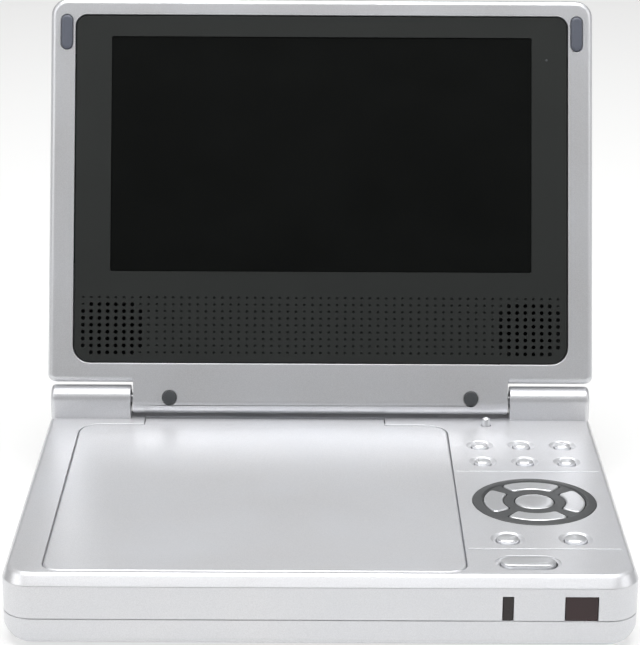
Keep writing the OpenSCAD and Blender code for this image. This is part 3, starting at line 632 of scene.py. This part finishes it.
piece("bottom_housing", bottom_housing(), SILVER, "base", "base_bottom_case", edge=0.2)


def hinge_cover():
    """The right hinge cover: a block with a rounded back and top, hollow at its inner end."""
    r, foot, inner, outer = cover_r, deck_z - 1.4, cover_x0 + 0.35, cover_x1 - 1.7
    points = [(hinge_y - r, foot), (hinge_y + r, foot),
              (hinge_y + r, hinge_z + r), (hinge_y - r, hinge_z + r)]
    bm = block_of(points, (0, 0, r, r), inner, outer, 16)
    step_in(bm, outer, [(0.12, 0.65), (0.3, 0.5), (0.5, 0.35), (0.65, 0.2)])
    step_in(bm, inner, [(0.1, 0.2), (0.25, 0.15)])
    return cut(placed(bm, ALONG_X), bar_x(cover_x0 - 1, cover_x0 + 23, hinge_y, hinge_z, 3.5))


piece("hinge_cover_shell_left", mirrored(hinge_cover()), SILVER, "base", "hinge_cover_left",
      edge=0.2, angle=40)
piece("hinge_cover_shell_right", hinge_cover(), SILVER, "base", "hinge_cover_right",
      edge=0.2, angle=40)

foot_profile = [(0, 0.35), (3.6, 0.35), (4.1, 0), (5.2, 0), (5.8, 0.25), (6, 0.8), (6, 2.6), (0, 2.6)]
piece("foot_pads", gathered([shifted(turned(foot_profile), x, y) for x, y in foot_spots]),
      FOOT_RUBBER, "base", "rubber_feet", edge=0)


# ---- Disc cover ----

def disc_lid():
    x0, y0, x1, y1 = cover_edge
    left, right = tab_x
    bm = slab(x0, y0, x1, y1, cover_foot, cover_top - 0.75, near=6, far=8, segments=12)
    step_in(bm, cover_top - 0.75, [(0.12, 0.34), (0.26, 0.27), (0.4, 0.14)])
    tab = slab(left, y1 - 2, right, cover_axis_y, cover_foot, deck_z - 0.02)
    barrel = bar_x(left, right, cover_axis_y, cover_axis_z, 2.48)
    hook = slab(36, -68.6, 39, -65, 14, deck_z - 2)
    bm = add(bm, tab, barrel, hook)
    pin_holes = [bar_x(x0, x1, cover_axis_y, cover_axis_z, 1.25)
                 for x0, x1 in ((left - 1, left + 4.6), (right - 4.6, right + 1))]
    return cut(bm, gathered(pin_holes))


piece("disc_lid", disc_lid(), SILVER, "disc_cover", "disc_cover", edge=0.15)


# ---- Keys ----

def round_key(x, y, r):
    """A domed key on its flange."""
    rim = deck_z - 0.1
    flange = key_foot + flange_h
    dome = [(r * sin(radians(a)), rim + (key_top - rim) * cos(radians(a))) for a in (76, 62, 48, 34, 20, 8)]
    profile = [(0, key_foot), (r + flange_w, key_foot), (r + flange_w, flange), (r, flange), (r, rim)]
    return shifted(turned(profile + dome + [(0, key_top)]), x, y)


keys = [(f"upper_key_{3 * j + i + 1}", x, y, key_r)
        for j, y in enumerate(upper_y) for i, x in enumerate(upper_x)]
keys += [("lower_key_left", lower_x[0], lower_y, low_key_r),
         ("lower_key_right", lower_x[1], lower_y, low_key_r)]
for name, x, y, r in keys:
    piece(name + "_button", round_key(x, y, r), KEY_SILVER, name, name, edge=0.06)


def sector_points(r_in, r_out, half_angle, r):
    """The outline of a ring sector around +X whose corners are rounded by r."""
    outer = half_angle - asin(r / (r_out - r))
    inner = half_angle - asin(r / (r_in + r))
    points = []

    def arc(far, at, radius, start, end, steps):
        for i in range(steps + 1):
            a = start + (end - start) * i / steps
            points.append((far * cos(at) + radius * cos(a), far * sin(at) + radius * sin(a)))

    arc(0, 0, r_out, -outer, outer, 14)
    arc(r_out - r, outer, r, outer, pi / 2 + half_angle, 5)
    arc(r_in + r, inner, r, pi / 2 + half_angle, pi + inner, 5)
    arc(0, 0, r_in, inner, -inner, 10)
    arc(r_in + r, -inner, r, pi - inner, 3 * pi / 2 - half_angle, 5)
    arc(r_out - r, -outer, r, 3 * pi / 2 - half_angle, 2 * pi - outer, 5)
    return points


def nav_block(angle, grow, z0, z1, steps=()):
    """A curved key's block, grown by grow and turned by angle from +X, its top narrowed in steps."""
    points = sector_points(nav_in_r - grow, nav_out_r + grow, nav_half_angle + grow / nav_mid_r, nav_corner_r)
    bm = block_of(points, [0] * len(points), z0, z1)
    if steps:
        step_in(bm, z1, steps)
    return shifted(swung(bm, angle), nav_x, nav_y)


nav_angles = {"nav_key_right": 0, "nav_key_up": 90, "nav_key_left": 180, "nav_key_down": 270}
for name, angle in nav_angles.items():
    crown = nav_block(angle, 0, key_foot + 0.3, nav_top - 0.45, [(0.08, 0.2), (0.2, 0.16), (0.3, 0.09)])
    flange = nav_block(angle, 0.7, key_foot, key_foot + flange_h)
    piece(name + "_button", add(crown, flange), KEY_SILVER, name, name, edge=0.08)

center_profile = [(0, key_foot), (center_r + 0.8, key_foot), (center_r + 0.8, key_foot + flange_h),
                  (center_r, key_foot + flange_h), (center_r, nav_top - 0.5),
                  (center_r - 0.2, nav_top - 0.25),
                  (center_r - 0.9, nav_top - 0.05), (4, nav_top + 0.06), (0, nav_top + 0.1)]
piece("center_button", shifted(turned(center_profile, 64), nav_x, nav_y),
      KEY_SILVER, "center_key", "center_key", edge=0.08)


def ring():
    """The ring: a sloped rim round a plate with a window for each key."""
    profile = [(0, deck_under + 0.3), (ring_r, deck_under + 0.3), (ring_r, deck_z + 0.02),
               (ring_r - 0.35, deck_z + 0.2), (18.6, deck_z + 0.46), (18.1, deck_z + 0.5),
               (17.8, deck_z + 0.42),
               (17.65, deck_z + 0.2), (17.6, deck_z), (0, deck_z)]
    bm = shifted(turned(profile, 96), nav_x, nav_y)
    windows = [nav_block(angle, key_gap, deck_under - 1, deck_z + 2) for angle in nav_angles.values()]
    windows.append(post(nav_x, nav_y, deck_under - 1, deck_z + 2, center_r + key_gap, 64))
    return cut(bm, gathered(windows), post(nav_x, nav_y, deck_under - 1, deck_under + 1, ring_r - 2.6, 96))


piece("nav_ring_trim", ring(), RING_GREY, "base", "nav_ring", edge=0.1)


def open_button():
    """The oblong key on its flange, with the stem that pushes the latch bar."""
    bm = oblong(open_half, open_r, deck_z - 3, key_top - 0.65)
    step_in(bm, key_top - 0.65, [(0.15, 0.28), (0.45, 0.22), (0.8, 0.1), (1.1, 0.05)])
    flange = oblong(open_half, open_r + 1, deck_z - 3.6, deck_z - 2.6)
    stem = post(0, -2.2, 16.6, deck_z - 3.5, 1.4)
    return shifted(add(bm, flange, stem), open_x, open_y)


piece("open_button", open_button(), KEY_SILVER, "open_key", "open_key", edge=0.12)

pin_profile = [(0, 16.2), (pin_r, 16.2), (pin_r, 20.4), (2.6, 20.4), (2.6, deck_under - 0.8),
               (pin_r, deck_under - 0.8), (pin_r, deck_z + 1.9), (1.35, deck_z + 2.45),
               (0.95, deck_z + 2.8), (0.45, deck_z + 2.97), (0, deck_z + 3)]
piece("lid_pin", shifted(turned(pin_profile, 32), pin_x, pin_y),
      KEY_SILVER, "lid_switch_pin", "lid_switch_pin", edge=0)


# ---- Front windows, wheel and switch ----

window_looks = (("remote_window", "ir_window", TINTED_RED), ("lamp_window", "led_window", TINTED_BROWN))
for (name, stands_for, look), (x0, x1) in zip(window_looks, window_spans):
    piece(name, slab(x0, front_y + 0.12, x1, front_y + wall, seam_z + 0.02, window_top), look, "base",
          stands_for, edge=0.2)


def wheel():
    """The thumb wheel, notched round its edge and bored for its axle."""
    bm = post(wheel_x, wheel_y, socket_z - 1.3, socket_z + 1.3, wheel_r, 96)
    notches = []
    for i in range(wheel_notches):
        notch = swung(slab(wheel_r - 0.25, -0.16, wheel_r + 1, 0.16, -3, 3), 360 / wheel_notches * i)
        notches.append(shifted(notch, wheel_x, wheel_y, socket_z))
    return cut(bm, gathered(notches), post(wheel_x, wheel_y, socket_z - 2, socket_z + 2, 1.05))


piece("thumb_wheel", wheel(), BLACK, "volume_wheel", "volume_wheel", edge=0.08)


def slide_switch():
    """The switch's slider plate with its ribbed nose."""
    bm = slab(half_w - 3.8, switch_y - 3.4, half_w - 2.6, switch_y + 3.4, socket_z - 2.4, socket_z + 2.4)
    bm = add(bm, slab(half_w - 2.7, switch_y - 2, half_w - 0.2, switch_y + 2, socket_z - 1.5, socket_z + 1.5))
    grips = [slab(half_w - 0.6, switch_y + y - 0.2, half_w, switch_y + y + 0.2, socket_z - 2, socket_z + 2)
             for y in (-1.2, -0.4, 0.4, 1.2)]
    return cut(bm, gathered(grips))


piece("slide_switch", slide_switch(), BLACK, "power_switch", "power_switch", edge=0.08)


# ---- Screen lid ----

def lid_block(w0, w1, inset=0.0):
    """The lid's outline as a block from w0 to w1, drawn in by inset."""
    return slab(-half_w + inset, lid_foot + inset, half_w - inset, lid_top - inset, w0, w1,
                near=max(lid_low_r - inset, 0.5), far=lid_high_r - inset, segments=10)


def tongue(w0, w1):
    """The part of the hinge tongue that lies between w0 and w1."""
    back, front, top = back_w + 0.03, face_w - 0.03, lid_foot + 4
    points = [(-tongue_r, -tongue_r), (tongue_r - 0.1, back), (top, back), (top, front), (-tongue_r, front)]
    bm = placed(block_of(points, (4.9, 0, 0, 0, 4.6), -tongue_half, tongue_half, 12), ALONG_X)
    far_x, far_w = half_w + 10, 12
    if w0 > back_w:
        bm = cut(bm, slab(-far_x, -far_w, far_x, 20, -far_w, w0))
    if w1 < face_w:
        bm = cut(bm, slab(-far_x, -far_w, far_x, 20, w1, far_w))
    return bm


def tongue_room(w0, w1):
    """Cutter for the hollow of the tongue."""
    return slab(-tongue_half + lid_wall, -3.2, tongue_half - lid_wall, lid_foot + 5, w0, w1)


def shaft_room():
    """Cutter for the hinge shafts."""
    return bar_x(-tongue_half - 5, tongue_half + 5, 0, 0, shaft_room_r)


def lid_front():
    bm = lid_block(lid_seam, face_w - 1.8)
    step_in(bm, face_w - 1.8, [(0.35, 0.8), (0.45, 0.5), (0.6, 0.33), (0.7, 0.17)])
    bm = add(bm, tongue(lid_seam, 10))
    bm = cut(bm, lid_block(lid_seam - 1, face_w - 2.2, lid_wall))
    bm = cut(bm, slab(-mask_x - mask_gap, mask_v0 - mask_gap, mask_x + mask_gap, mask_v1 + mask_gap,
                      face_w - 2.5, face_w + 1, near=6.4, far=4.4))
    bm = cut(bm, slab(-mask_x + 2.1, mask_v0 + 1.6, mask_x - 2.1, mask_v1 - 2, 0, face_w, near=4, far=3))
    pockets = []
    for side in (-1, 1):
        pocket = swung(oblong(4.3, 2.3, face_w - 0.8, face_w + 1), 90)
        pockets.append(shifted(pocket, side * bumper_x, bumper_v))
        pockets.append(post(side * cap_x, cap_v, face_w - 0.7, face_w + 1, 2.75))
    return cut(bm, tongue_room(lid_seam - 1, face_w - 2), gathered(pockets), shaft_room())


piece("lid_front_shell", lid_front(), SILVER, "lid", "lid_front_frame",
      place=ON_LID, edge=0.28)


def lid_back():
    bm = lid_block(back_w + 2.5, lid_seam)
    step_in(bm, back_w + 2.5, [(0.8, 1.45), (1.5, 1.05)])
    bm = add(bm, tongue(-10, lid_seam))
    bm = cut(bm, lid_block(back_w + 2, lid_seam + 1, lid_wall))
    return cut(bm, tongue_room(-3.2, lid_seam + 1), shaft_room())


piece("lid_back_shell", lid_back(), SILVER, "lid", "lid_back_cover", place=ON_LID, edge=0.28)


def dimple(x, v):
    """Cutter for a blind, funnel-shaped dimple of the grille."""
    bm = bmesh.new()
    bmesh.ops.create_cone(bm, cap_ends=True, segments=12, radius1=0.22, radius2=0.78, depth=0.8)
    return shifted(bm, x, v, mask_top - 0.1)


def grille():
    """Cutters for the grille: open holes in front of the speakers and blind dimples between."""
    holes = []
    patch_middle = (grille_patch - 1) / 2
    for row in range(grille_rows):
        for column in range(grille_columns):
            from_end = min(column, grille_columns - 1 - column)
            if row == 0 and from_end == 0:
                continue
            in_patch = from_end < grille_patch and row < grille_patch
            corner = abs(from_end - patch_middle) + abs(row - patch_middle) >= 6.5
            x, v = grille_x + column * pitch_x, grille_v + row * pitch_v
            if in_patch and not corner:
                holes.append(post(x, v, mask_top - 3, mask_top + 1, 0.74, 12))
            else:
                holes.append(dimple(x, v))
    return gathered(holes)


def bezel():
    bm = slab(-mask_x, mask_v0, mask_x, mask_v1, mask_top - 2, mask_top - 0.4, near=6, far=4)
    step_in(bm, mask_top - 0.4, [(0.12, 0.22), (0.25, 0.18)])
    picture = slab(-screen_x, screen_v0, screen_x, screen_v1, mask_top - 3, mask_top + 1, near=0.5, far=0.5,
                   segments=3)
    return cut(bm, picture, grille())


piece("screen_bezel", bezel(), MASK_GREY, "lid", "screen_mask", place=ON_LID, edge=0, angle=20)

pane = slab(-screen_x + pane_gap, screen_v0 + pane_gap, screen_x - pane_gap, screen_v1 - pane_gap,
            mask_top - 2, mask_top - 0.4, near=0.4, far=0.4, segments=3)
piece("screen_pane", pane, SCREEN, "lid", "screen_window", place=ON_LID, edge=0.1)

cap_profile = [(0, face_w - 0.7), (2.55, face_w - 0.7), (2.55, face_w + 0.05), (2.35, face_w + 0.28),
               (1.7, face_w + 0.4), (0, face_w + 0.45)]
bumpers, caps = [], []
for side in (-1, 1):
    bumper = oblong(4.25, 2.05, face_w - 0.8, face_w + 0.1)
    step_in(bumper, face_w + 0.1, [(0.15, 0.35), (0.35, 0.25), (0.5, 0.15)])
    bumpers.append(shifted(swung(bumper, 90), side * bumper_x, bumper_v))
    caps.append(shifted(turned(cap_profile, 32), side * cap_x, cap_v))
piece("lid_bumpers", gathered(bumpers), SLATE, "lid", "bumpers_oblong",
      place=ON_LID, edge=0.1)
piece("hinge_screw_caps", gathered(caps), CAP_GREY, "lid", "screw_caps", place=ON_LID, edge=0)

lamp_profile = [(0, mask_top - 0.4), (0.45, mask_top - 0.4), (0.45, mask_top + 0.08), (0.3, mask_top + 0.14),
                (0, mask_top + 0.15)]
piece("lid_lamp", shifted(turned(lamp_profile, 16), lamp_x, lamp_v), CAP_GREY, "lid", None,
      place=ON_LID, edge=0)


# ---- Floor, light and camera ----

# Strength of the surroundings in front and behind, and what is added to it high up
FRONT_LEVEL, BACK_LEVEL, HIGH_LEVEL = 0.34, 1.45, 1.0
FLOOR_COLOR, FLOOR_GLOW, FLOOR_HALF = (0.46, 0.46, 0.455, 1), 0.53, 6
# Name, place, size and power of each soft light, and the point that it faces, in metres and watts
SOFTBOXES = (
    ("top_softbox", (0.0, -0.04, 1.35), 1.3, 23.5, (0, 0, 0.05)),
    ("left_softbox", (-1.2, -0.5, 0.9), 0.9, 5, (0, 0, 0.06)),
    ("right_softbox", (1.2, -0.3, 0.8), 0.8, 3.5, (0, 0, 0.05)),
)
CAMERA_SPOT, CAMERA_LENS, CAMERA_SENSOR = (-0.00209, -0.74965, 0.32229), 131.72, 36
CAMERA_PITCH, CAMERA_YAW, CAMERA_ROLL = radians(17.70), radians(0.13), radians(-0.31)


def pale_floor():
    material, _, shader = new_material("floor_white")
    shader.inputs["Base Color"].default_value = FLOOR_COLOR
    shader.inputs["Roughness"].default_value = 0.9
    shader.inputs["Emission Color"].default_value = (1, 1, 1, 1)
    shader.inputs["Emission Strength"].default_value = FLOOR_GLOW
    bm = bmesh.new()
    bmesh.ops.create_grid(bm, x_segments=1, y_segments=1, size=FLOOR_HALF)
    floor = as_object(bm, "floor")
    floor.data.materials.append(material)


def surroundings():
    """Even surroundings, dimmer in front of the object than behind and above it."""
    world = bpy.data.worlds.new("studio")
    scene.world = world
    world.use_nodes = True
    tree = world.node_tree
    background = tree.nodes["Background"]
    where = node(tree, "ShaderNodeTexCoord")
    split = node(tree, "ShaderNodeSeparateXYZ")
    tree.links.new(where.outputs["Generated"], split.inputs["Vector"])
    level = node(tree, "ShaderNodeMath", operation="ADD")
    tree.links.new(ranged(tree, split.outputs["Y"], FRONT_LEVEL, BACK_LEVEL, -0.95, 0.15), level.inputs[0])
    tree.links.new(ranged(tree, split.outputs["Z"], 0, HIGH_LEVEL, 0.3, 0.6), level.inputs[1])
    tree.links.new(level.outputs[0], background.inputs["Strength"])


def soft_lights():
    for name, place, size, power, target in SOFTBOXES:
        light = bpy.data.lights.new(name, "AREA")
        light.size = size
        light.energy = power
        holder = bpy.data.objects.new(name, light)
        holder.location = place
        holder.rotation_euler = (Vector(target) - Vector(place)).to_track_quat("-Z", "Y").to_euler()
        scene.collection.objects.link(holder)


def camera():
    lens = bpy.data.cameras.new("camera")
    lens.lens = CAMERA_LENS
    lens.sensor_width = CAMERA_SENSOR
    lens.clip_start = 0.05
    lens.clip_end = 30
    holder = bpy.data.objects.new("camera", lens)
    holder.matrix_world = (Matrix.Translation(CAMERA_SPOT) @ Matrix.Rotation(-CAMERA_YAW, 4, "Z")
                           @ Matrix.Rotation(pi / 2 - CAMERA_PITCH, 4, "X")
                           @ Matrix.Rotation(-CAMERA_ROLL, 4, "Z"))
    scene.collection.objects.link(holder)
    scene.camera = holder


pale_floor()
surroundings()
soft_lights()
camera()
scene.view_settings.view_transform = "Standard"

bpy.context.view_layer.update()
